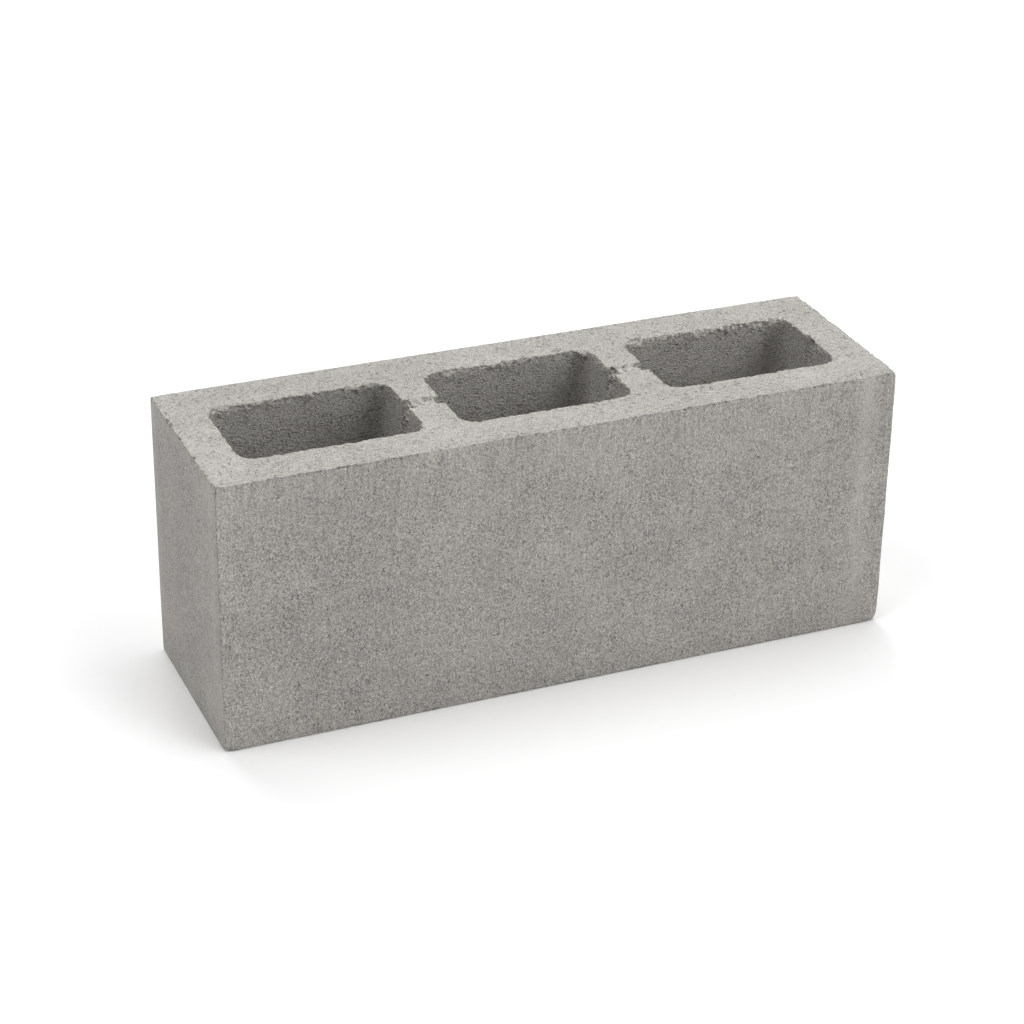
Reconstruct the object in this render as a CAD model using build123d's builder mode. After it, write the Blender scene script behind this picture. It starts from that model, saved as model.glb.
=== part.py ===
from build123d import *

import os

# Hollow concrete block with three open cores, cast in one piece. It stands as it leaves the mould:
# the core mouths are widest at the top, and the bar that carried the cores has left its mark there.
# The origin is the middle of the underside, with X along the block, Y across it and Z up.

# Block, in millimetres
block_length = 500.0
block_width = 150.0
block_height = 200.0
arris_radius = 2.0  # upright edges and the edges round the underside

# Walls, measured at the top, where they are thinnest
end_wall = 28.0
web = 26.0
face_shell = 32.5

# Cores, measured at the top, where they are widest
middle_core_length = 128.0  # the two end cores share the rest of the length
core_corner_radius = 12.0
core_draft = 2.0  # how far every core wall leans in, from the top to the underside

# Mark of the core bar, which ran along the middle of the mould from one end wall to the other
bar_width = 12.0
bar_groove_depth = 2.0  # groove across the top of each web
web_key_depth = 3.0  # upright groove down both sides of each web
end_key_depth = 1.0  # upright groove down the inside of each end wall

# Sizes and places that follow from those
core_width = block_width - 2 * face_shell
end_core_length = (block_length - middle_core_length) / 2 - web - end_wall
end_core_x = (middle_core_length + end_core_length) / 2 + web
web_x = (middle_core_length + web) / 2

# Each core: its centre along X, its length, and the depth of the key at its left and right end
cores = [
    (-end_core_x, end_core_length, end_key_depth, web_key_depth),
    (0, middle_core_length, web_key_depth, web_key_depth),
    (end_core_x, end_core_length, web_key_depth, end_key_depth),
]


def core_outline(centre_x, length, left_key, right_key, lean):
    # Plan of one core whose walls have leaned in by lean, with the core bar's key at both ends
    key_centre_x = centre_x + (right_key - left_key) / 2
    with Locations((centre_x, 0)):
        RectangleRounded(length - 2 * lean, core_width - 2 * lean, core_corner_radius - lean)
    with Locations((key_centre_x, 0)):
        Rectangle(length - 2 * lean + left_key + right_key, bar_width)


underside = Plane.XY
top = Plane.XY.offset(block_height)

with BuildPart() as block:
    # Outer body, with its worn arrises: the edges round the top stay sharp
    with BuildSketch(underside):
        Rectangle(block_length, block_width)
    extrude(amount=block_height)
    upright_edges = block.edges().filter_by(Axis.Z)
    lower_edges = block.edges().group_by(Axis.Z)[0]
    fillet(upright_edges + lower_edges, radius=arris_radius)

    # Cores, right through the block and narrower at the underside
    for core in cores:
        with BuildSketch(underside):
            core_outline(*core, lean=core_draft)
        with BuildSketch(top):
            core_outline(*core, lean=0)
        loft(ruled=True, mode=Mode.SUBTRACT)

    # Groove of the core bar across the top of the two webs
    with BuildSketch(top):
        with Locations((-web_x, 0), (web_x, 0)):
            Rectangle(web, bar_width)
    extrude(amount=-bar_groove_depth, mode=Mode.SUBTRACT)

block.part.label = "block"

os.makedirs("parts", exist_ok=True)
export_step(block.part, "parts/block.step")
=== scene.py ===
import math
from types import SimpleNamespace

import bpy
import numpy as np
from mathutils import Matrix, Vector


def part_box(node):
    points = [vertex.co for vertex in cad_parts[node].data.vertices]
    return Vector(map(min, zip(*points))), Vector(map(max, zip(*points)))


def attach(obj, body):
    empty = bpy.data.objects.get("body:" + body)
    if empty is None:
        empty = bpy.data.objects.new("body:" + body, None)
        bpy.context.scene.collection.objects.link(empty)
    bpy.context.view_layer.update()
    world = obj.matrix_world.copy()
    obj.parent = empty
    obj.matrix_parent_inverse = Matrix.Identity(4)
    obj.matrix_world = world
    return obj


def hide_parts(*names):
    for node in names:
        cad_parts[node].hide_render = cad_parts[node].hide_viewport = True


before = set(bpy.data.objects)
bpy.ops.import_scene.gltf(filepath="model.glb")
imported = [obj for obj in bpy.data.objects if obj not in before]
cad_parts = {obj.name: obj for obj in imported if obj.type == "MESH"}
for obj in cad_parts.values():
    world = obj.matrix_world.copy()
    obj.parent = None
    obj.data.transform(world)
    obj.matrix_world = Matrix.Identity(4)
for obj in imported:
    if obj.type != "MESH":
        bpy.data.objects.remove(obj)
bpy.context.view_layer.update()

mm = 0.001  # metres in a millimetre; shapes are worked out in millimetres

# The cast block, in millimetres: X along it, Y from its front to its back, Z up from its bed.
# A pair named a fade holds the distance or depth at which something starts, and that at which it is full
concreteBlock = {
    # walls and cores as cast, measured at the top, where the cores are widest
    "endWall": 28.0,
    "web": 26.0,
    "faceShell": 32.5,
    "middleCore": 128.0,
    "coreRadius": 12.0,
    "coreDraft": 2.0,  # each core wall leans in by this from top to underside
    "coreShifts": [  # how far the left, right, front and back wall of each core are off their places
        (0.9, -1.1, 0.5, -1.6),
        (-0.5, -1.5, 0.1, -0.6),
        (-0.6, -1.1, 0.2, 0.0),
    ],

    # mark of the core bar along the middle
    "barWidth": 12.0,
    "barSoftness": 0.4,  # how far its edges fade to each side
    "barRaggedness": 0.5,  # how far sand shifts its edges
    "barUnevenness": (0.2, 0.35),  # share by which the depth of its keys and of its groove varies
    "grooveDepths": (1.6, 1.0),  # across the left and the right web
    "grooveReach": 20.0,  # how far down the concrete follows the groove
    "trenchFade": (2.6, 0.8),  # deeper tears along the groove, measured from its back edge
    "trenchDepth": 2.4,
    "trenchStart": 0.1,  # tearing below which there is none
    "webKeys": (4.4, 1.4),  # down both sides of each web: at the mouth, and below it
    "mouthKeyFade": (7.0, 1.0),
    "webKeyReach": 8.0,  # how far beside a web its keys are looked for
    "endKeys": (0.3, 1.1),  # down the left and the right end wall
    "tornFade": (34.0, 13.6),  # how far down the keys are torn
    "tornRelief": 0.7,
    "tornLip": 2.0,  # depth under the lip at which the tears are full
    "pits": [  # torn out of the bar's mark: place, reach and depth
        (-88.5, -4.0, 199.0, 3.2, 2.4), (-74.7, 3.0, 199.0, 2.2, 1.6), (-80.0, 1.8, 199.0, 1.9, 1.0),
        (-83.0, 2.4, 199.0, 1.6, 0.8), (64.5, -3.6, 198.5, 2.2, 1.8), (73.2, 2.4, 199.4, 1.9, 1.2),
        (72.6, -3.0, 199.4, 1.8, 1.0), (76.0, -6.0, 200.0, 1.6, 1.0), (85.9, 3.8, 199.5, 1.9, 1.4),
        (-80.1, -24.0, 200.0, 1.5, 0.8), (222.5, -0.5, 196.0, 4.6, 3.0), (223.0, 3.4, 186.0, 2.6, 0.9),
    ],

    # lips of the cores, loose sand under them, and teeth broken out of the top's rim
    "mouthWander": (3.0, 1.3, 0.8),  # how far a lip wanders: back, front and ends
    "overhangShare": 0.4,  # how much of that it may hang over the core
    "lipDepth": 3.4,  # how far down the wall and across the top the concrete follows its lip
    "lipReach": 9.0,
    "crumbs": (0.9, 1.4, 1.8),  # loose sand about the middle of the left, middle and right core
    "crumbFade": (9.0, 3.0),
    "frontCrumbShare": 0.4,  # the other walls of a core against its back wall
    "rimBite": (1.9, 0.8, 0.2, 2.0),  # front, right, back and left
    "rimShift": 0.1,  # more of the rim is broken as this grows
    "rimFade": (3.0, 0.5),
    "rimReach": 4.0,

    # roundings of the edges, and the largest bites that crumble out of them
    "topRounding": 0.35,
    "topBite": 2.4,
    "backBiteShare": 0.3,  # the back edge of the top against the others
    "topChipShare": 0.1,
    "mouthRounding": 0.5,
    "mouthBite": 4.5,
    "frontMouthShare": 0.4,  # the other lips of a core against its back lip
    "mouthChipShare": 0.3,
    "bedRounding": 1.1,
    "bedBite": 0.9,
    "uprightRounding": 0.7,
    "uprightBite": 1.0,
    "uprightChipShare": 0.6,
    "crumbleMix": (0.6, 0.8),  # crumbs and lumps in a coarse bite, and in a fine one
    "nibbleMix": (0.9, 0.3),
    "biteStart": 0.05,  # roughness at which a bite starts, and the most that it takes
    "biteLimit": 0.8,
    "wornCorners": [  # side along each axis, and the extra rounding there
        (1, -1, 0, 4.0), (-1, -1, 0, 3.0), (1, -1, 1, 1.8), (-1, -1, 1, 1.0),
        (1, 1, 0, 2.5), (-1, 1, 0, 0.5), (1, 1, 1, 1.2), (-1, 1, 1, 0.8),
    ],
    "cornerSpread": 40.0,  # square of the distance at which that rounding has faded to a third
    "nicks": [(234.0, -75.0, 199.0, 3.5, 3.0), (-250.0, -75.0, 197.0, 3.0, 2.4)],  # place, reach and bite

    # relief of the faces: slow waves, swells and drag marks, then swells and lumps in the cores
    "faceRelief": (0.10, 0.06, 0.04),
    "coreRelief": (0.22, 0.15),
    "coreReliefDepth": 1.5,  # depth under the lip at which these are full
    "crumbRelief": (0.3, 1.3),  # loose sand: all of it, and the grains that stand out
    "grainRange": (0.2, 0.7),  # roughness at which a grain starts to stand out, and stands out fully

    # rough sand: size of the noise and seed, and for a mixture the share of each
    "crumbNoise": (2.7, 11),
    "lumpNoise": (5.5, 12),
    "swellNoise": (16.0, 13),
    "waveNoise": (70.0, 14),
    "chipBowls": (17.0, 0.3, 15),  # size, share of the places with a chip, and seed
    "dragNoise": ((5.0, 5.0, 45.0), 16),
    "tearNoise": ((3.0, 7.0, 2.6), 17),
    "tearGain": 1.6,
    "lipNoises": [(2.2, 18, 0.8), (3.6, 19, 0.6), (8.0, 20, 0.2)],
    "rimNoises": [(2.4, 21, 0.9), (5.5, 22, 0.8)],

    # tones that the finish reads, in steps of lighter or darker; those by height, on the ends and in the
    # cores are painted light and shade
    "streaks": [  # lighter and darker upright bands on the faces: axis of the face, its side, middle along the face, half width, tone
        (1, -1, 228.0, 7.0, 1.8), (1, -1, 208.0, 9.0, -0.5), (1, -1, 243.0, 4.0, -0.5),
        (1, -1, -170.0, 60.0, -0.7), (0, -1, -61.0, 4.5, 1.0), (0, -1, 69.0, 8.0, 1.7),
        (1, 1, 60.0, 14.0, 0.6), (1, 1, -205.0, 7.0, 1.0), (0, 1, 66.0, 7.0, 1.0), (0, 1, -60.0, 5.0, 0.7),
    ],
    "streakFade": (10.0, 60.0),  # height above the bed
    "heightShading": 0.8,  # painted shading: how much lighter the long faces are painted at the top than at the foot
    "endHeightShading": -1.28,  # the same painted shading on the ends
    "middleShading": (-0.4, -0.5),  # painted shade on the long faces and the ends about the middle of their height
    "middleReach": 45.0,
    "endShading": -0.6,  # painted shading of the ends against the long faces, and painted light added at their top
    "endTopLight": 0.7,
    "endTopFade": (35.0, 8.0),
    "stains": [  # on the top: place, reach along and across, tone
        (-140.0, 60.0, 90.0, 16.0, -2.1),
        (60.0, 64.0, 160.0, 14.0, -0.4),
    ],
    "stainDepth": 5.0,
    "coreLight": (1.1, 1.2, 2.7),  # painted light in the left, middle and right core, and painted light and shade on the right wall in each
    "rightWallShading": (2.0, 3.2, -0.3),

    # strength of the grain on each kind of face
    "bedGrain": 1.4,
    "faceGrain": (0.92, 1.08),  # long faces at their top edge, and further down
    "faceGrainFade": (10.0, 70.0),
    "endGrain": 0.75,
    "coreFaceGrain": 1.27,  # front and back walls of the cores, then their end walls
    "coreEndGrain": 1.35,
    "streakSmoothness": 0.4,  # how much of the grain is lost in a pale streak

    # strength of the other marks that the finish reads, most of them painted shade and light
    "tornMarks": (1.0, 0.3, 0.4),  # painted shade in slots and painted light on ridges, with a bump, over the keys of the webs, the key of the right end wall and the groove
    "grooveMarkDepth": 8.0,
    # painted shade down the deeper tears along the groove
    "trenchShade": 0.7,
    "trenchShadeFade": (0.3, 1.0),
    # painted highlight on the loose crumbs under the lips, as if they catch light from above, with some
    # painted shade between
    "crumbLight": 0.6,
    "crumbLightFade": (8.0, 2.0),
    "frontCrumbLight": 0.35,  # the other walls of a core against its back wall
    "dragMarks": (0.8, 0.2, 0.4),  # long faces, ends and cores
    "topDragMark": 0.9,  # what is added at the top of the long faces
    "topDragFade": (48.0, 8.0),
    # painted shade: dark dots down the upright arrises, standing in for shade in their small pits
    "arrisReach": 1.2,
    "rimShades": (0.45, 0.6),  # painted shade all along under the rim, and more of it under a tooth
    "rimShadeFade": (3.4, 0.8),
    "toothFade": (0.3, 1.1),

    # grid
    "columnStep": 1.15,  # spacing round the block
    "coreRows": 30,  # rows on each stretch of the profile
    "topRows": 14,
    "wallRows": 17,
    "bedRows": 4,
    "coreGrowth": 7,  # power with which the rows of a core wall spread out below the mouth
    "wallCrowding": 0.97,  # how strongly rows crowd towards the edges, from 0 to 1
    "bedCrowding": 0.78,
}

onSurface = 0.01  # millimetres within which a point counts as on a wall
faceKind, bedKind, endKind, coreKind = 0.0, 1.0, 1.7, 2.0  # the finish draws the grain out by these


def crowdedRows(count, crowding):
    # shares from 0 to 1 that crowd towards both ends: t - crowding * sin(2 pi t) / (2 pi)
    t = np.linspace(0.0, 1.0, count + 1)
    return t - crowding * np.sin(2 * np.pi * t) / (2 * np.pi)


def growingRows(count, power):
    # shares from 0 to 1 whose depth below 1 grows as 0.14 t + 0.86 t to the power,
    # with one short step left at the foot
    evenShare, lastShare = 0.14, 0.992
    t = np.linspace(0.0, 1.0, count)
    depth = np.concatenate([(evenShare * t + (1 - evenShare) * t**power) * lastShare, [1.0]])
    return 1 - depth[::-1]


def roundedSide(t, half, reach, radius):
    # one side of a rounded rectangle, by arc length t from 0 to 1:
    # half a corner arc, the straight, half an arc
    straight = half - radius
    q = (t - 0.5) * 2 * (straight + radius * np.pi / 4)
    turn = np.maximum(np.abs(q) - straight, 0.0) / max(radius, 1e-9)
    along = np.sign(q) * (np.minimum(np.abs(q), straight) + radius * np.sin(turn))
    return along, reach - radius * (1 - np.cos(turn))


def coreOutline(halfLength, halfWidth, radius, counts):
    # core plan, counter-clockwise from the front left corner: front, right, back and left side in turn
    sides = []
    for side, count in enumerate(counts):
        t = np.arange(count) / count
        half, reach = (halfLength, halfWidth) if side % 2 == 0 else (halfWidth, halfLength)
        along, out = roundedSide(t, half, reach, radius)
        turn = side * np.pi / 2
        x = along * np.cos(turn) + out * np.sin(turn)
        y = along * np.sin(turn) - out * np.cos(turn)
        sides.append(np.stack([x, y], 1))
    return np.concatenate(sides)


def rimOutline(x0, x1, halfWidth, counts):
    # outer plan of a cell, a rectangle walked in the same order and with the same columns as its core
    corners = np.array([(x0, -halfWidth), (x1, -halfWidth), (x1, halfWidth), (x0, halfWidth)])
    sides = []
    for side, count in enumerate(counts):
        t = (np.arange(count) / count)[:, None]
        sides.append(corners[side] * (1 - t) + corners[(side + 1) % 4] * t)
    return np.concatenate(sides)


def cellGrid(cell, block, size):
    # one core with the concrete round it, as a profile carried round the core: up the core wall, out
    # across the top, down the outer wall and back under the block. Rows run along the profile, columns
    # round the core
    x0, x1, core, webSides = cell
    width, height = size[1:]
    centreX, centreY, halfLength, halfWidth = core
    alongCount = round((x1 - x0) / block["columnStep"])
    acrossCount = round(width / block["columnStep"])
    counts = (alongCount, acrossCount, alongCount, acrossCount)
    lean, radius = block["coreDraft"], block["coreRadius"]
    mouth = coreOutline(halfLength, halfWidth, radius, counts) + (centreX, centreY)
    foot = coreOutline(halfLength - lean, halfWidth - lean, radius - lean, counts) + (centreX, centreY)
    rim = rimOutline(x0, x1, width / 2, counts)

    up = growingRows(block["coreRows"], block["coreGrowth"])[:, None, None]
    across = crowdedRows(block["topRows"], block["bedCrowding"])[1:, None, None]
    down = crowdedRows(block["wallRows"], block["wallCrowding"])[1:, None, None]
    back = crowdedRows(block["bedRows"], block["bedCrowding"])[1:-1, None, None]
    plan = np.concatenate([
        foot * (1 - up) + mouth * up,
        mouth * (1 - across) + rim * across,
        rim + 0 * down,
        rim * (1 - back) + foot * back,
    ])
    z = np.concatenate([height * up, height + 0 * across, height * (1 - down), 0 * back])
    points = np.concatenate([plan, np.broadcast_to(z, plan.shape[:2] + (1,))], 2)

    # four corners of each face, turned so that it looks out of the concrete
    rows, columns = points.shape[:2]
    index = np.arange(rows * columns).reshape(rows, columns)
    nextRow = np.roll(index, -1, 0)
    faces = np.stack([index, nextRow, np.roll(nextRow, -1, 1), np.roll(index, -1, 1)], 2)

    # kind of each face; no outer wall stands where two cells meet in a web
    stretches = (block["coreRows"], block["topRows"], block["wallRows"], block["bedRows"])
    kinds = np.repeat((coreKind, bedKind, faceKind, bedKind), stretches)
    kinds = np.repeat(kinds[:, None], columns, 1)
    keep = np.ones((rows, columns), bool)
    wallStart = block["coreRows"] + block["topRows"]
    starts = np.concatenate([[0], np.cumsum(counts)])
    for side in (1, 3):
        wall = (slice(wallStart, wallStart + block["wallRows"]), slice(starts[side], starts[side + 1]))
        keep[wall] = side not in webSides
        kinds[wall] = endKind
    return points.reshape(-1, 3), faces[keep], kinds[keep]


def blockGrid(block, size):
    # the three cells side by side, with the points welded where two of them meet
    length, width = size[:2]
    halfWeb, halfWidth = block["web"] / 2, width / 2 - block["faceShell"]
    webX, outerX = block["middleCore"] / 2 + halfWeb, length / 2 - block["endWall"]
    lefts = (-outerX, -webX + halfWeb, webX + halfWeb)
    rights = (-webX - halfWeb, webX - halfWeb, outerX)
    cores = []
    for left, right, shifts in zip(lefts, rights, block["coreShifts"]):
        x0, x1, y0, y1 = np.add((left, right, -halfWidth, halfWidth), shifts)
        cores.append(((x0 + x1) / 2, (y0 + y1) / 2, (x1 - x0) / 2, (y1 - y0) / 2))
    cells = [  # left and right end, core, and the sides that meet another cell
        (-length / 2, -webX, cores[0], (1,)),
        (-webX, webX, cores[1], (1, 3)),
        (webX, length / 2, cores[2], (3,)),
    ]
    allPoints, allFaces, allKinds, offset = [], [], [], 0
    for cell in cells:
        cellPoints, cellFaces, cellKinds = cellGrid(cell, block, size)
        allPoints.append(cellPoints)
        allFaces.append(cellFaces + offset)
        allKinds.append(cellKinds)
        offset += len(cellPoints)
    points, faces, kinds = np.concatenate(allPoints), np.concatenate(allFaces), np.concatenate(allKinds)
    used, faces = np.unique(faces, return_inverse=True)
    points, faces = points[used], faces.reshape(-1, 4)
    _, first, same = np.unique(np.round(points, 4), axis=0, return_index=True, return_inverse=True)
    return points[first], same.ravel()[faces], kinds, cores, webX


def vertexNormals(points, faces):
    # normals of the faces, from their diagonals, added up at their corners
    diagonals = points[faces[:, 2]] - points[faces[:, 0]], points[faces[:, 3]] - points[faces[:, 1]]
    normal = np.cross(*diagonals)
    total = np.zeros_like(points)
    for corner in range(4):
        np.add.at(total, faces[:, corner], normal)
    return total / np.maximum(np.linalg.norm(total, axis=1, keepdims=True), 1e-12)


def easedStep(low, high, value):
    # 0 at low, 1 at high, eased between; low may be the larger
    t = np.clip((value - low) / (high - low), 0, 1)
    return t * t * (3 - 2 * t)


def latticeNoise(points, cell, seed):
    # value noise from -1 to 1: random values on a lattice of the given cell size, eased from point to point
    lattice = 64
    table = np.random.default_rng(seed).uniform(-1.0, 1.0, (lattice, lattice, lattice))
    p = points / np.asarray(cell)
    low = np.floor(p).astype(int)
    f = p - low
    f = f * f * (3 - 2 * f)
    total = np.zeros(len(points))
    for corner in range(8):
        step = np.array([corner & 1, corner >> 1 & 1, corner >> 2 & 1])
        weight = np.prod(np.where(step, f, 1 - f), 1)
        i = (low + step) % lattice
        total += weight * table[i[:, 0], i[:, 1], i[:, 2]]
    return total


def mixedNoise(points, noises):
    # lattice noises of several sizes added up, each with its share
    total = np.zeros(len(points))
    for cell, seed, share in noises:
        total += share * latticeNoise(points, cell, seed)
    return total


def scatteredBowls(points, cell, share, seed):
    # bowls from 0 to 1: a jittered centre in a share of the lattice cells, and a paraboloid about each
    lattice = 48
    rng = np.random.default_rng(seed)
    jitter = rng.uniform(0.15, 0.85, (lattice, lattice, lattice, 3))
    radius = rng.uniform(0.25, 0.5, (lattice, lattice, lattice))
    radius *= rng.random((lattice, lattice, lattice)) < share
    p = points / cell
    low = np.floor(p).astype(int)
    bowl = np.zeros(len(points))
    for offset in np.ndindex(3, 3, 3):
        near = low + np.array(offset) - 1
        i = near % lattice
        centre = near + jitter[i[:, 0], i[:, 1], i[:, 2]]
        r = np.maximum(radius[i[:, 0], i[:, 1], i[:, 2]], 1e-6)
        reach = np.sum((p - centre) ** 2, 1) / r**2
        bowl = np.maximum(bowl, np.clip(1 - reach, 0, 1))
    return bowl


def bowlAt(points, place, reach):
    # one paraboloid bowl: 1 - (distance / reach) squared, and 0 outside its reach
    return np.clip(1 - np.sum((points - place) ** 2, 1) / reach**2, 0, 1)


def boxDistance(x, y, halfX, halfY, radius):
    # signed distance to a rounded rectangle, positive outside, and the unit direction in which it grows
    qx, qy = np.abs(x) - halfX + radius, np.abs(y) - halfY + radius
    outside = np.hypot(np.maximum(qx, 0), np.maximum(qy, 0))
    distance = outside + np.minimum(np.maximum(qx, qy), 0) - radius
    inCorner = (qx > 0) & (qy > 0)
    scale = np.maximum(outside, 1e-9)
    wayX = np.where(inCorner, np.maximum(qx, 0) / scale, qx > qy) * np.sign(x)
    wayY = np.where(inCorner, np.maximum(qy, 0) / scale, qx <= qy) * np.sign(y)
    return distance, wayX, wayY


def measurePoints(points, normals, cores, webX, block, size):
    # where each point stands: how far from the top, the bed, the outside and the nearest core, with the
    # directions that lead out of the block and away from that core
    length, width, height = size
    x, y, z = points.T
    at = SimpleNamespace(x=x, y=y, z=z, height=height, fromTop=height - z, fromBed=z)
    at.fromEnd, at.fromFace = length / 2 - np.abs(x), width / 2 - np.abs(y)
    outside, at.outX, at.outY = boxDistance(x, y, length / 2, width / 2, 0.0)
    at.fromOut = -outside
    at.lean = block["coreDraft"] * at.fromTop / height
    at.fromCore, at.coreX, at.coreY = np.full(len(x), np.inf), np.zeros(len(x)), np.zeros(len(x))
    for centreX, centreY, halfLength, halfWidth in cores:
        halfX, halfY, radius = halfLength - at.lean, halfWidth - at.lean, block["coreRadius"] - at.lean
        distance, wayX, wayY = boxDistance(x - centreX, y - centreY, halfX, halfY, radius)
        nearer = distance < at.fromCore
        at.fromCore = np.where(nearer, distance, at.fromCore)
        at.coreX, at.coreY = np.where(nearer, wayX, at.coreX), np.where(nearer, wayY, at.coreY)
    at.fromCore = np.maximum(at.fromCore, 0.0)
    at.onCore = (at.fromCore < onSurface) & (np.abs(normals[:, 2]) < 0.8)
    at.onBack = easedStep(0.3, 0.8, at.coreY)  # 1 on the back wall of a core
    at.onEnd = np.abs(at.coreX) > 0.5  # the end walls of the cores
    at.whichCore = np.digitize(x, (-webX, webX))
    at.looseSand = np.interp(x, (cores[0][0], 0.0, cores[2][0]), block["crumbs"])
    at.fromWeb = np.abs(np.abs(x) - webX)  # from the middle of the nearest web
    return at


def sandNoise(points, block):
    # rough sand of several sizes: noises from -1 to 1, tears that reach further, and chips from 0 to 1
    return SimpleNamespace(
        crumb=latticeNoise(points, *block["crumbNoise"]),
        lump=latticeNoise(points, *block["lumpNoise"]),
        swell=latticeNoise(points, *block["swellNoise"]),
        wave=latticeNoise(points, *block["waveNoise"]),
        drag=latticeNoise(points, *block["dragNoise"]),
        tear=latticeNoise(points, *block["tearNoise"]) * block["tearGain"],
        chip=scatteredBowls(points, *block["chipBowls"]),
    )


def coreBarMark(at, sand, block):
    # core bar: a key down the ends of the cores and a groove across the webs, both as deep as given inside
    # the bar's width and torn where the bar came away
    halfBar, halfWeb, soft = block["barWidth"] / 2, block["web"] / 2, block["barSoftness"]
    ragged = block["barRaggedness"]
    keyUneven, grooveUneven = block["barUnevenness"]
    bar = SimpleNamespace()
    aside = np.abs(at.y) + ragged * sand.lump + ragged * sand.crumb
    bar.within = easedStep(halfBar + soft, halfBar - soft, aside)
    bar.overWeb = easedStep(halfWeb + soft, halfWeb - soft, at.fromWeb)
    bar.byWeb = at.fromWeb < halfWeb + block["webKeyReach"]
    bar.nearMouth = easedStep(*block["tornFade"], at.fromTop)

    mouthKey, lowKey = block["webKeys"]
    webKey = lowKey + (mouthKey - lowKey) * easedStep(*block["mouthKeyFade"], at.fromTop)
    keyDepth = np.where(bar.byWeb, webKey, np.where(at.x < 0, *block["endKeys"]))
    keyDepth *= 1 + keyUneven * sand.swell
    belowLip = easedStep(0.0, block["tornLip"], at.fromTop)
    keyDepth += block["tornRelief"] * bar.byWeb * bar.nearMouth * sand.tear * belowLip
    bar.key = keyDepth * bar.within * np.clip(1 - at.fromCore / halfWeb, 0, 1) * at.onEnd

    outerTrench, fullTrench = block["trenchFade"]
    bar.trench = easedStep(halfBar - outerTrench, halfBar - fullTrench, at.y)
    bar.trench *= np.maximum(sand.tear - block["trenchStart"], 0) * block["trenchDepth"]
    grooveDepth = np.where(at.x < 0, *block["grooveDepths"])
    grooveDepth = grooveDepth * (1 + grooveUneven * sand.lump) + bar.trench
    followed = np.clip(1 - at.fromTop / block["grooveReach"], 0, 1)
    bar.groove = grooveDepth * bar.within * bar.overWeb * followed
    return bar


def lipWander(at, block):
    # how far a core's lip moves outwards: noise at the lip's own place only, so the rows beside it follow
    ahead = at.fromCore - at.lean
    lip = np.stack([at.x - at.coreX * ahead, at.y - at.coreY * ahead, np.full_like(at.x, at.height)], 1)
    wander = mixedNoise(lip, block["lipNoises"])
    wander = np.maximum(wander, block["overhangShare"] * wander)
    backWander, frontWander, endWander = block["mouthWander"]
    wander *= np.where(at.coreY > 0, backWander, frontWander) * at.coreY**2 + endWander * at.coreX**2
    wander *= easedStep(block["lipDepth"], 0.0, at.fromTop)
    return wander * easedStep(block["lipReach"], 0.0, at.fromCore)


def rimTeeth(at, block):
    # how deep the teeth in the top's rim are: noise at the rim's own place only, cut off at 0 and 1
    rimX, rimY = at.x + at.outX * at.fromOut, at.y + at.outY * at.fromOut
    rim = np.stack([rimX, rimY, np.full_like(at.x, at.height)], 1)
    front, right, back, left = block["rimBite"]
    bite = np.where(at.outY == 0, np.where(at.x > 0, right, left), np.where(at.y > 0, back, front))
    return np.clip(block["rimShift"] + mixedNoise(rim, block["rimNoises"]), 0, 1) * bite


def wornEdge(a, b, rounding, bite):
    # a point at distances a and b from an edge moves onto the arc that rounds it, then back to a flat bite
    va, vb = a - rounding, b - rounding
    reach = np.maximum(np.hypot(va, vb), 1e-9)
    pull = np.where((va < 0) & (vb < 0) & (reach > rounding), rounding / reach - 1, 0.0)
    flat = np.maximum(bite - a - b, 0.0) / 2
    return va * pull + flat, vb * pull + flat


def wearEdges(moved, points, at, sand, block, size):
    # every edge of the block and its cores gets its rounding, more of it at worn corners, and its bites
    wear, nick = np.zeros(len(points)), np.zeros(len(points))
    for sideX, sideY, sideZ, extra in block["wornCorners"]:
        corner = np.multiply((sideX / 2, sideY / 2, sideZ), size)
        wear = np.maximum(wear, extra * np.exp(-np.sum((points - corner) ** 2, 1) / block["cornerSpread"]))
    for *place, reach, bite in block["nicks"]:
        nick = np.maximum(nick, bite * bowlAt(points, place, reach))

    def roughBite(crumbShare, lumpShare):
        rough = crumbShare * sand.crumb + lumpShare * sand.lump - block["biteStart"]
        return np.clip(rough, 0, block["biteLimit"])

    crumble, nibble = roughBite(*block["crumbleMix"]), roughBite(*block["nibbleMix"])
    topBite = block["topBite"] * (nibble + block["topChipShare"] * sand.chip)
    topBite = topBite * np.where(at.outY > 0, block["backBiteShare"], 1.0) + nick
    mouthBite = block["frontMouthShare"] * nibble * (1 - at.onBack)
    mouthBite += at.onBack * (crumble + block["mouthChipShare"] * sand.chip)
    bedBite, footBite = block["bedBite"] * (crumble + sand.chip), block["bedBite"] * crumble
    uprightBite = block["uprightBite"] * (crumble + block["uprightChipShare"] * sand.chip) + nick

    down, up = (0, 0, -1), (0, 0, 1)
    inwards, offCore = (-at.outX, -at.outY, 0), (at.coreX, at.coreY, 0)
    fromEnds, fromFaces = (-np.sign(at.x), 0, 0), (0, -np.sign(at.y), 0)
    edges = [  # distances from two faces, the ways into the concrete from them, rounding and bite
        (at.fromTop, at.fromOut, down, inwards, block["topRounding"] + wear, topBite),
        (at.fromTop, at.fromCore, down, offCore, block["mouthRounding"], block["mouthBite"] * mouthBite),
        (at.fromBed, at.fromOut, up, inwards, block["bedRounding"] + wear, bedBite),
        (at.fromBed, at.fromCore, up, offCore, block["bedRounding"], footBite),
        (at.fromEnd, at.fromFace, fromEnds, fromFaces, block["uprightRounding"] + wear, uprightBite),
    ]
    for a, b, aWay, bWay, rounding, bite in edges:
        aMove, bMove = wornEdge(a, b, rounding, bite)
        for axis in range(3):
            moved[:, axis] += aWay[axis] * aMove + bWay[axis] * bMove


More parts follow.
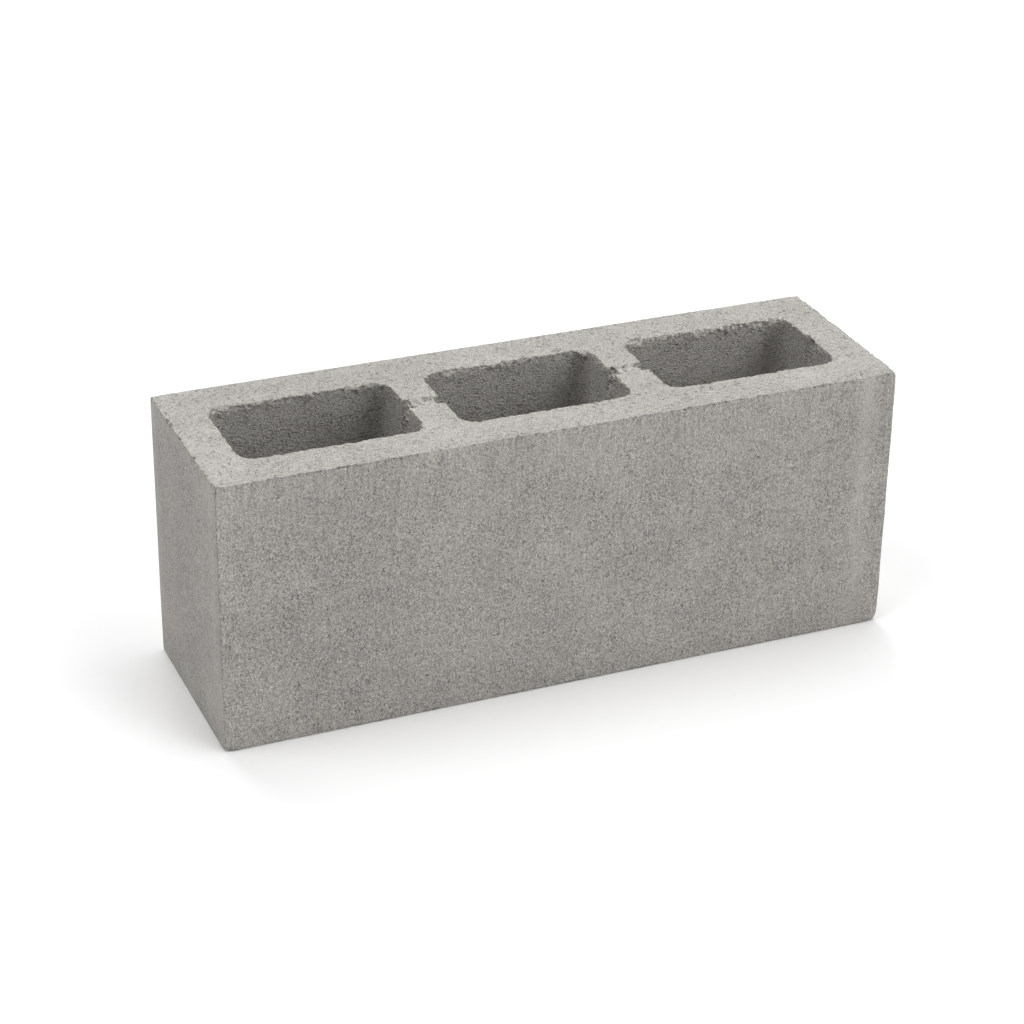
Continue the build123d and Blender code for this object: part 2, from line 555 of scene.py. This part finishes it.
def faceRelief(at, sand, block):
    # how far a face is pressed in: slow waves, never outwards, so that the block keeps its size, and in the
    # cores coarser swells with loose sand that stands out under the lips
    wave, swell, drag = block["faceRelief"]
    relief = wave * (1 + sand.wave) + swell * (1 + sand.swell) + drag * (1 + sand.drag)
    inCore = at.onCore * easedStep(0.0, block["coreReliefDepth"], at.fromTop)
    coreSwell, coreLump = block["coreRelief"]
    relief += inCore * (coreSwell * sand.swell + coreLump * sand.lump)
    loose = inCore * easedStep(*block["crumbFade"], at.fromTop) * at.looseSand
    loose *= at.onBack + block["frontCrumbShare"] * (1 - at.onBack)
    allSand, grains = block["crumbRelief"]
    return relief + loose * (allSand * sand.crumb - grains * easedStep(*block["grainRange"], -sand.crumb))


def uprightBands(points, normals, at, block):
    # tone of the upright bands, a bell curve across each, and how smooth the pale ones are
    tone, smooth = np.zeros(len(points)), np.zeros(len(points))
    for axis, way, middle, halfWidth, streakTone in block["streaks"]:
        onFace = (normals[:, axis] * way > 0.5) & (at.fromOut < onSurface)
        streak = onFace * np.exp(-(((points[:, 1 - axis] - middle) / halfWidth) ** 2))
        tone += streakTone * streak
        smooth = np.maximum(smooth, streak * np.clip(streakTone - 0.5, 0, 1))
    return tone * easedStep(*block["streakFade"], at.z), smooth


def stainsAndShadeTones(looks, at, block):
    # how much lighter or darker each place is painted: painted shading by height and on the ends, stains on
    # the top, painted light and shade in the cores
    endLook, faceLook, bedLook = looks
    outer = 1.0 - at.onCore
    # painted shading: lighter or darker by height, darker about the middle, and on the ends
    shadeByHeight = faceLook * block["heightShading"] + endLook * block["endHeightShading"]
    tone = outer * shadeByHeight * (at.z / at.height - 0.5)
    faceMiddle, endMiddle = block["middleShading"]
    aboutMiddle = np.exp(-(((at.z - 0.5 * at.height) / block["middleReach"]) ** 2))
    tone += outer * (faceMiddle * faceLook + endMiddle * endLook) * aboutMiddle
    endShading = block["endShading"] + block["endTopLight"] * easedStep(*block["endTopFade"], at.fromTop)
    tone += outer * endLook * endShading
    for stainX, stainY, reachX, reachY, stainTone in block["stains"]:
        away = ((at.x - stainX) / reachX) ** 2 + ((at.y - stainY) / reachY) ** 2
        away += (at.fromTop / block["stainDepth"]) ** 2
        tone += outer * bedLook * stainTone * np.exp(-away)
    # painted light and shade in the cores: each core, and the right wall in each, painted lighter or darker
    rightWall = (at.coreX > 0.5) * at.coreX**2
    tone += at.onCore * np.array(block["coreLight"])[at.whichCore]
    tone += at.onCore * rightWall * np.array(block["rightWallShading"])[at.whichCore]
    return tone


def marksAndPaintedShade(looks, streaks, at, bar, pitShade, teeth, block):
    # what the finish needs to know of each place, mostly as shares from 0 to 1, among them the painted
    # light and shade
    endLook, faceLook, bedLook = looks
    streakTone, smooth = streaks
    outer = 1.0 - at.onCore
    grainLow, grainHigh = block["faceGrain"]
    faceGrain = grainLow + (grainHigh - grainLow) * easedStep(*block["faceGrainFade"], at.fromTop)
    grain = block["bedGrain"] * bedLook
    grain += np.where(at.onCore, block["coreFaceGrain"], faceGrain) * faceLook
    grain += np.where(at.onCore, block["coreEndGrain"], block["endGrain"]) * endLook
    inGroove = bar.within * bar.overWeb * (at.fromTop < block["grooveMarkDepth"])
    inKey = bar.within * at.onCore * at.onEnd * bar.nearMouth
    webTorn, endTorn, grooveTorn = block["tornMarks"]
    # painted shade and light, and bump, where the keys and the groove are torn
    tornShadeAndBump = inKey * np.where(bar.byWeb, webTorn, endTorn * (at.x > 0)) + grooveTorn * inGroove
    # painted shade in the tears of the groove, added to that in the pits
    trench = block["trenchShade"] * easedStep(*block["trenchShadeFade"], bar.trench) * inGroove
    # painted highlight on the loose crumbs under the lips
    crumbs = block["crumbLight"] * at.onCore * easedStep(*block["crumbLightFade"], at.fromTop) * at.looseSand
    crumbs *= at.onBack + block["frontCrumbLight"] * (1 - at.onBack)
    faceDrag, endDrag, coreDrag = block["dragMarks"]
    faceDrag = faceDrag + block["topDragMark"] * easedStep(*block["topDragFade"], at.fromTop)
    plainRimShade, toothShade = block["rimShades"]
    # painted shade under the top's rim, darkest where a tooth is broken out
    rim = outer * np.minimum(2 * (1 - bedLook), 1) * easedStep(*block["rimShadeFade"], at.fromTop)
    rim *= plainRimShade + toothShade * easedStep(*block["toothFade"], teeth)
    return {
        "grain": grain * (1 - block["streakSmoothness"] * smooth),
        "bed": bedLook,
        "tornShadeAndBump": np.clip(tornShadeAndBump, 0, 1),
        "crumbs": crumbs,
        "pocketShade": np.clip(pitShade + trench, 0, 1),
        "drag": outer * (faceLook * faceDrag + endDrag * endLook) + coreDrag * at.onCore,
        # painted shade down the upright arrises
        "arrisShade": easedStep(block["arrisReach"], 0.0, at.fromEnd + at.fromFace),
        "rim": rim,
        # stains and upright bands, with the painted shading
        "stainsAndShade": streakTone + stainsAndShadeTones(looks, at, block),
    }


def blockMesh(block, size):
    # the grid of the block, with the core bar's mark, worn edges and rough faces pressed into it
    points, faces, kinds, cores, webX = blockGrid(block, size)
    normals = vertexNormals(points, faces)
    print("block grid:", len(points), "points,", 2 * len(faces), "triangles")
    at = measurePoints(points, normals, cores, webX, block, size)
    sand = sandNoise(points, block)
    moved = points.copy()

    bar = coreBarMark(at, sand, block)
    moved[:, 0] += bar.key * at.coreX
    moved[:, 2] -= bar.groove
    wander, teeth = lipWander(at, block), rimTeeth(at, block)
    inset = teeth * easedStep(*block["rimFade"], at.fromTop) * easedStep(block["rimReach"], 0.0, at.fromOut)
    moved[:, 0] += at.coreX * wander - at.outX * inset
    moved[:, 1] += at.coreY * wander - at.outY * inset
    pitShade = np.zeros(len(points))
    for *place, reach, depth in block["pits"]:
        bowl = bowlAt(points, place, reach)
        moved -= normals * (depth * bowl)[:, None]
        pitShade = np.maximum(pitShade, bowl * min(1.0, 0.5 * depth))  # painted shade in the pit, full from 2 mm deep
    wearEdges(moved, points, at, sand, block, size)
    moved -= normals * faceRelief(at, sand, block)[:, None]

    looks = (normals**2).T  # shares with which a place looks along, across and up
    streaks = uprightBands(points, normals, at, block)
    marks = marksAndPaintedShade(looks, streaks, at, bar, pitShade, teeth, block)
    return moved, faces, {**marks, "kind": kinds}


def meshPiece(name, points, faces, marks):
    # a mesh of four-cornered faces; marks with one value for each face are kept on the faces
    mesh = bpy.data.meshes.new(name)
    mesh.vertices.add(len(points))
    mesh.vertices.foreach_set("co", (points * mm).astype(np.float32).ravel())
    mesh.loops.add(faces.size)
    mesh.loops.foreach_set("vertex_index", faces.astype(np.int32).ravel())
    mesh.polygons.add(len(faces))
    mesh.polygons.foreach_set("loop_start", np.arange(0, faces.size, 4, dtype=np.int32))
    mesh.update(calc_edges=True)
    mesh.polygons.foreach_set("use_smooth", np.ones(len(faces), bool))
    for markName, values in marks.items():
        layer = mesh.attributes.new(markName, "FLOAT", "FACE" if len(values) == len(faces) else "POINT")
        layer.data.foreach_set("value", values.astype(np.float32))
    mesh.validate()
    piece = bpy.data.objects.new(name, mesh)
    bpy.context.scene.collection.objects.link(piece)
    return piece


blockLow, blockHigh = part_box("block")
blockSize = [(high - low) / mm for low, high in zip(blockLow, blockHigh)]
blockPoints, blockFaces, blockMarks = blockMesh(concreteBlock, blockSize)
blockPiece = meshPiece("concrete_block", blockPoints, blockFaces, blockMarks)

# Concrete finish: the colour is linear, sizes are in millimetres and tones are shares of the colour
concreteFinish = {
    "colour": (0.371, 0.358, 0.3345),
    "roughness": 0.93,
    "specular": 0.2,
    "faceStretch": (1.0, 1.0, 0.8),  # scale of the grain: drawn out upwards on the long faces,
    "coreStretch": (0.7, 0.7, 1.15),  # sideways in the cores, and between the two on beds and ends
    "fineSize": 0.8,
    "fineTone": 0.38,
    "sandSize": 1.3,
    "sandTone": 0.11,
    "gapRange": (0.35, 0.75),  # ranges: what of a noise, or of a distance, is spread over the tone
    "gapTone": 0.18,  # gaps between the sand
    "bedGrainShare": 0.8,  # fine, sand and gap tones on the top against the other faces
    "pitSize": 2.2,
    "pitRange": (0.35, 0.75),
    "pitTone": 0.19,
    "bedPitTone": 0.247,  # on the top
    "dragSize": 1.6,
    "dragStretch": (1, 1, 0.07),
    "dragTone": 0.09,
    "patchSize": 13.0,  # patches of coarser and finer grain
    "patchShare": 0.25,
    "lumpSize": 4.0,  # on the top only
    "lumpTone": 0.07,
    "cloudSize": 9.0,
    "cloudTone": 0.05,
    "blotchSize": 55.0,
    "blotchTone": 0.09,
    # painted light: how much paler the top is painted, standing in for more light from above
    "topLightTone": 0.275,
    # painted shade in pits and tears
    "pocketShadeTone": 0.65,
    "tornSize": 2.4,
    "tornStretch": (1, 0.3, 1.1),
    "tornRange": (-0.6, 0.6),
    # painted shade in the torn slots and painted light on their ridges
    "tornShadeTone": 0.5,
    # painted highlight, with some painted shade, on the loose crumbs
    "crumbSize": 2.0,
    "crumbRange": (-0.4, 0.5),
    "crumbLightTone": 0.6,
    # stains, upright bands and painted shading
    "stainAndShadeTone": 0.06,
    # painted shade: dark dots down the upright arrises
    "arrisSize": 3.0,
    "arrisRange": (-0.2, 0.3),
    "arrisShadeTone": 0.30,
    # painted shade in the notches under the top's rim
    "rimSize": 2.0,
    "rimRange": (0.6, 1.0),
    "rimRaggedness": 0.6,
    "rimShadeTone": 0.36,
    "bumpHeight": 0.5,
    "fineBump": 0.35,  # shares of that height
    "gapBump": 0.5,
    "tornBump": 2.5,
}


class NodeBench:
    # shorthands for the nodes of one material; what is plugged in is a number or another node's output
    def __init__(self, material):
        material.use_nodes = True
        self.nodes, self.links = material.node_tree.nodes, material.node_tree.links
        self.coords = self.nodes.new("ShaderNodeTexCoord").outputs["Object"]

    def plug(self, socket, value):
        if isinstance(value, (int, float)):
            socket.default_value = value
        else:
            self.links.new(value, socket)

    def mark(self, name):
        # what the mesh says of the place
        node = self.nodes.new("ShaderNodeAttribute")
        node.attribute_name = name
        return node.outputs["Fac"]

    def combine(self, kind, a, b, c=0.0):
        node = self.nodes.new("ShaderNodeMath")
        node.operation = kind
        for socket, value in zip(node.inputs, (a, b, c)):
            self.plug(socket, value)
        return node.outputs[0]

    def spread(self, value, low, high, toLow, toHigh):
        node = self.nodes.new("ShaderNodeMapRange")
        for socket, given in zip(node.inputs, (value, low, high, toLow, toHigh)):
            self.plug(socket, given)
        return node.outputs["Result"]

    def stretched(self, scale):
        node = self.nodes.new("ShaderNodeMapping")
        node.inputs["Scale"].default_value = scale
        self.plug(node.inputs["Vector"], self.coords)
        return node.outputs["Vector"]

    def noise(self, space, size, detail):
        # cloud noise as a share from -1 to 1
        node = self.nodes.new("ShaderNodeTexNoise")
        node.inputs["Scale"].default_value = 1 / (size * mm)
        node.inputs["Detail"].default_value = detail
        self.plug(node.inputs["Vector"], space)
        return self.spread(node.outputs["Fac"], 0.25, 0.75, -1, 1)

    def cells(self, space, size):
        # cells of the given size: distance from the cell's middle, and a number of its own from 0 to 1
        node = self.nodes.new("ShaderNodeTexVoronoi")
        node.inputs["Scale"].default_value = 1 / (size * mm)
        self.plug(node.inputs["Vector"], space)
        split = self.nodes.new("ShaderNodeSeparateColor")
        self.plug(split.inputs["Color"], node.outputs["Color"])
        return node.outputs["Distance"], split.outputs[0]


def grainSpace(bench, finish):
    # the space of the grain: Object coordinates, scaled by the kind of face
    kind = bench.mark("kind")
    stretch = bench.nodes.new("ShaderNodeCombineXYZ")
    for axis, start in enumerate((faceKind, faceKind, bedKind)):
        onFaces, inCores = finish["faceStretch"][axis], finish["coreStretch"][axis]
        bench.plug(stretch.inputs[axis], bench.spread(kind, start, coreKind, onFaces, inCores))
    drawn = bench.nodes.new("ShaderNodeVectorMath")
    drawn.operation = "MULTIPLY"
    bench.plug(drawn.inputs[0], bench.coords)
    bench.plug(drawn.inputs[1], stretch.outputs["Vector"])
    return drawn.outputs["Vector"]


def sandyGrain(bench, finish, bed):
    # tone and height of fine dots, grains of sand, gaps between them and pits, in coarser and finer patches
    space = grainSpace(bench, finish)
    fine = bench.noise(space, finish["fineSize"], 1)
    sandDistance, sandNumber = bench.cells(space, finish["sandSize"])
    gap = bench.spread(sandDistance, *finish["gapRange"], -0.5, 0.5)
    pit = bench.spread(bench.noise(space, finish["pitSize"], 2), *finish["pitRange"], -0.1, 0.9)
    patchLow, patchHigh = 1 - finish["patchShare"], 1 + finish["patchShare"]
    patch = bench.spread(bench.noise(bench.coords, finish["patchSize"], 1), -1, 1, patchLow, patchHigh)
    grain = bench.combine("MULTIPLY", bench.mark("grain"), patch)

    tone = bench.combine("MULTIPLY", fine, finish["fineTone"])
    tone = bench.combine("MULTIPLY_ADD", bench.spread(sandNumber, 0, 1, -1, 1), finish["sandTone"], tone)
    tone = bench.combine("MULTIPLY_ADD", gap, -finish["gapTone"], tone)
    tone = bench.combine("MULTIPLY", tone, bench.spread(bed, 0, 1, 1, finish["bedGrainShare"]))
    pitTone = bench.spread(bed, 0, 1, -finish["pitTone"], -finish["bedPitTone"])
    tone = bench.combine("MULTIPLY_ADD", pit, pitTone, tone)
    tone = bench.combine("MULTIPLY_ADD", tone, grain, 1.0)

    height = bench.combine("MULTIPLY", gap, -finish["gapBump"])
    height = bench.combine("MULTIPLY_ADD", fine, finish["fineBump"], height)
    height = bench.combine("SUBTRACT", height, pit)
    return tone, bench.combine("MULTIPLY", height, grain)


def marksAndPaintedLight(bench, finish, bed, tornShadeAndBump, tone):
    # what lies over the grain: drag marks, clouds, the top painted paler as painted light, painted shade in
    # pockets, painted shade and light on torn places and loose crumbs, stains, upright bands and painted
    # shading
    coords = bench.coords
    drag = bench.noise(bench.stretched(finish["dragStretch"]), finish["dragSize"], 2)
    crumbs = bench.spread(bench.noise(coords, finish["crumbSize"], 1), *finish["crumbRange"], -0.2, 1)
    layers = [
        (bench.combine("MULTIPLY", drag, bench.mark("drag")), finish["dragTone"]),
        (bench.noise(coords, finish["cloudSize"], 2), finish["cloudTone"]),
        (bench.noise(coords, finish["blotchSize"], 2), finish["blotchTone"]),
        (bench.combine("MULTIPLY", bed, bench.noise(coords, finish["lumpSize"], 1)), finish["lumpTone"]),
        # painted light: the top painted paler
        (bed, finish["topLightTone"]),
        # painted shade in pits and tears
        (bench.mark("pocketShade"), -finish["pocketShadeTone"]),
        # painted shade in the torn slots and painted light on their ridges
        (tornShadeAndBump, finish["tornShadeTone"]),
        # stains and upright bands, with the painted shading by height, on the ends and in the cores
        (bench.mark("stainsAndShade"), finish["stainAndShadeTone"]),
        # painted highlight, with some painted shade, on the loose crumbs
        (bench.combine("MULTIPLY", crumbs, bench.mark("crumbs")), finish["crumbLightTone"]),
    ]
    for pattern, strength in layers:
        tone = bench.combine("MULTIPLY_ADD", pattern, strength, tone)
    return tone


def paintedEdgeShade(bench, finish, tone):
    # painted shade: dark dots down the upright arrises, and dark teeth in the notches under the top's rim
    dots = bench.noise(bench.coords, finish["arrisSize"], 1)
    dots = bench.spread(dots, *finish["arrisRange"], 0, finish["arrisShadeTone"])
    tone = bench.combine("SUBTRACT", tone, bench.combine("MULTIPLY", bench.mark("arrisShade"), dots))
    teeth = bench.noise(bench.coords, finish["rimSize"], 1)
    teeth = bench.combine("MULTIPLY_ADD", teeth, finish["rimRaggedness"], bench.mark("rim"))
    return bench.combine("SUBTRACT", tone, bench.spread(teeth, *finish["rimRange"], 0, finish["rimShadeTone"]))


def concreteMaterial(finish):
    # grain, marks with their painted light and shade, and the painted shade at the edges are added up as
    # one tone, which scales the colour
    material = bpy.data.materials.new("concrete")
    bench = NodeBench(material)
    bed = bench.mark("bed")
    # torn places: a bump, with painted shade in the slots and painted light on the ridges
    tornShadeAndBump = bench.noise(bench.stretched(finish["tornStretch"]), finish["tornSize"], 1)
    tornShadeAndBump = bench.combine("MULTIPLY", bench.spread(tornShadeAndBump, *finish["tornRange"], -0.6, 1), bench.mark("tornShadeAndBump"))
    tone, height = sandyGrain(bench, finish, bed)
    tone = marksAndPaintedLight(bench, finish, bed, tornShadeAndBump, tone)
    tone = paintedEdgeShade(bench, finish, tone)
    colour = bench.nodes.new("ShaderNodeVectorMath")
    colour.operation = "SCALE"
    colour.inputs[0].default_value = finish["colour"]
    bench.plug(colour.inputs["Scale"], tone)

    # relief finer than the mesh
    bump = bench.nodes.new("ShaderNodeBump")
    bump.inputs["Distance"].default_value = finish["bumpHeight"] * mm
    bench.plug(bump.inputs["Height"], bench.combine("MULTIPLY_ADD", tornShadeAndBump, finish["tornBump"], height))

    shader = bench.nodes["Principled BSDF"]
    shader.inputs["Roughness"].default_value = finish["roughness"]
    shader.inputs["Specular IOR Level"].default_value = finish["specular"]
    bench.plug(shader.inputs["Base Color"], colour.outputs["Vector"])
    bench.plug(shader.inputs["Normal"], bump.outputs["Normal"])
    return material


blockPiece.data.materials.append(concreteMaterial(concreteFinish))
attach(blockPiece, "root")
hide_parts("block")
print("block dressed")

# Studio: a white floor, a white surround and soft lamps
studio = {
    "floorSize": 12.0,  # metres
    "floorColour": (0.98, 0.98, 0.98),
    "surround": 0.05,  # light from all round; the camera sees it as white
    "lamps": [  # name; degrees round from the front towards the right, and up; strength; spread in degrees
        ("softRight", 30, 25, 1.0, 40),
        ("highRight", 60, 50, 0.86, 50),
        ("highLeft", -90, 50, 1.25, 50),
        ("softBack", 180, 25, 1.43, 40),
        ("softTop", 135, 72, 1.08, 40),
    ],
}


def makeFloor(size, colour):
    # a square on the ground with the block in its middle
    half = size / 2
    mesh = bpy.data.meshes.new("floor")
    corners = [(-half, -half, 0), (half, -half, 0), (half, half, 0), (-half, half, 0)]
    mesh.from_pydata(corners, [], [(0, 1, 2, 3)])
    paint = bpy.data.materials.new("floor_white")
    paint.use_nodes = True
    shader = paint.node_tree.nodes["Principled BSDF"]
    shader.inputs["Base Color"].default_value = (*colour, 1)
    shader.inputs["Roughness"].default_value = 1.0
    shader.inputs["Specular IOR Level"].default_value = 0.0
    mesh.materials.append(paint)
    floor = bpy.data.objects.new("floor", mesh)
    bpy.context.scene.collection.objects.link(floor)
    return floor


def makeSurround(strength):
    # a white world that lights with the given strength and shows itself to the camera with strength 1
    world = bpy.data.worlds.new("surround")
    world.use_nodes = True
    nodes, links = world.node_tree.nodes, world.node_tree.links
    path = nodes.new("ShaderNodeLightPath")
    seen = nodes.new("ShaderNodeMapRange")
    seen.inputs["To Min"].default_value = strength
    links.new(path.outputs["Is Camera Ray"], seen.inputs["Value"])
    nodes["Background"].inputs["Color"].default_value = (1, 1, 1, 1)
    links.new(seen.outputs["Result"], nodes["Background"].inputs["Strength"])
    bpy.context.scene.world = world


def makeLamp(name, around, up, strength, softness):
    # a far lamp at the given angles round the block and above the ground
    data = bpy.data.lights.new(name, "SUN")
    data.energy = strength
    data.angle = math.radians(softness)
    lamp = bpy.data.objects.new(name, data)
    lamp.rotation_euler = (math.radians(90 - up), 0, math.radians(around))
    bpy.context.scene.collection.objects.link(lamp)


floor = makeFloor(studio["floorSize"], studio["floorColour"])
makeSurround(studio["surround"])
for lampValues in studio["lamps"]:
    makeLamp(*lampValues)
print("studio lit by", len(studio["lamps"]), "lamps")

# Camera: where it stands in metres, how it is turned in degrees and its lens, fitted to the block's corners
view = {
    "position": (-0.6846, -1.5930, 0.9980),
    "azimuth": -22.924,  # turn of its look from +Y towards -X
    "elevation": 27.38,  # how far it looks down
    "roll": 0.796,
    "focalPixels": 2747.3,
    "imagePixels": 1024,
    "sensor": 36.0,
}


def makeCamera(view):
    data = bpy.data.cameras.new("camera")
    data.sensor_width = view["sensor"]
    data.lens = view["sensor"] * view["focalPixels"] / view["imagePixels"]
    camera = bpy.data.objects.new("camera", data)
    azimuth, elevation = math.radians(view["azimuth"]), math.radians(view["elevation"])
    level = math.cos(elevation)
    look = Vector((-math.sin(azimuth) * level, math.cos(azimuth) * level, -math.sin(elevation)))
    turn = look.to_track_quat("-Z", "Y").to_matrix() @ Matrix.Rotation(math.radians(view["roll"]), 3, "Z")
    camera.matrix_world = Matrix.Translation(view["position"]) @ turn.to_4x4()
    bpy.context.scene.collection.objects.link(camera)
    bpy.context.scene.camera = camera


makeCamera(view)
bpy.context.scene.view_settings.view_transform = "Standard"
print("camera set")
